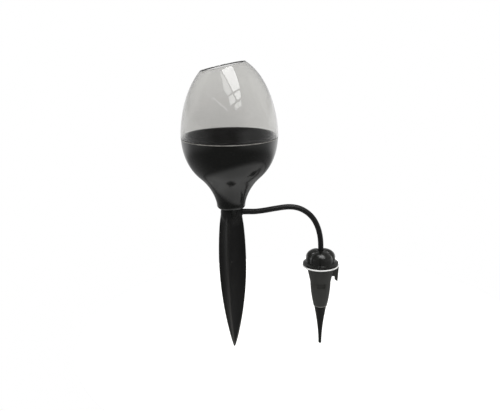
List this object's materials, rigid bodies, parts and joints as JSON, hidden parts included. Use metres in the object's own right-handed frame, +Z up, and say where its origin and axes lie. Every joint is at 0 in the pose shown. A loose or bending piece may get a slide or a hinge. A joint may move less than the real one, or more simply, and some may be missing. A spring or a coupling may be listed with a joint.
{
  "type": "plant water dripper",
  "caption": "Egg-shaped plant watering reservoir with a clear open dome on a finned ground stake, feeding an adjustable drip spike with a pot-rim hook through a short hose.",
  "frame": {"origin": "on the stake's axis at the soil line, where the ground meets the stake under its round head", "axes": "+Z up along the stake, +X from the stake to the drip spike, -Y the front of the locating tongue and of the sunk panel"},
  "size_m": [0.1562, 0.0952, 0.2954],
  "materials": {
    "clear_plastic": "clear polished",
    "gloss_black": "gloss moulded",
    "satin_black": "satin moulded",
    "cone_grey": "matte moulded",
    "hose_black": "satin extruded",
    "seal_rubber": "matte",
    "seal_white": "matte",
    "natural_plastic": "satin moulded"
  },
  "bodies": {
    "stake_assembly": {"stake": "satin_black", "spigot_o_ring": "seal_rubber", "tube_barb": "satin_black", "drip_tube": "hose_black", "cap_gasket": "seal_white", "valve_seat": "seal_rubber", "cone_body": "cone_grey", "spike_tip": "satin_black"},
    "reservoir": {"reservoir_bowl": "gloss_black", "outlet_strainer": "satin_black", "dome_seal": "seal_rubber"},
    "dome": {"clear_dome": "clear_plastic"},
    "needle": {"valve_needle": "natural_plastic"},
    "cap": {"drip_cap": "gloss_black", "needle_retainer": "satin_black"}
  },
  "joints": [
    {"name": "reservoir_lift", "type": "slide", "parent": "stake_assembly", "child": "reservoir", "axis": [0, 0, 1], "range_m": [0, 0.03]},
    {"name": "dome_lift", "type": "slide", "parent": "reservoir", "child": "dome", "axis": [0, 0, 1], "range_m": [0, 0.03]},
    {"name": "needle_rise", "type": "slide", "parent": "stake_assembly", "child": "needle", "axis": [0, 0, 1], "range_m": [0, 0.0015]},
    {"name": "cap_turn", "type": "hinge", "parent": "needle", "child": "cap", "pos_m": [0.09, 0, -0.046], "axis": [0, 0, 1], "range_deg": [0, 270]}
  ],
  "couplings": [
    {"joint": "needle_rise", "follows": "cap_turn", "m_per_rad": 0.000318}
  ]
}
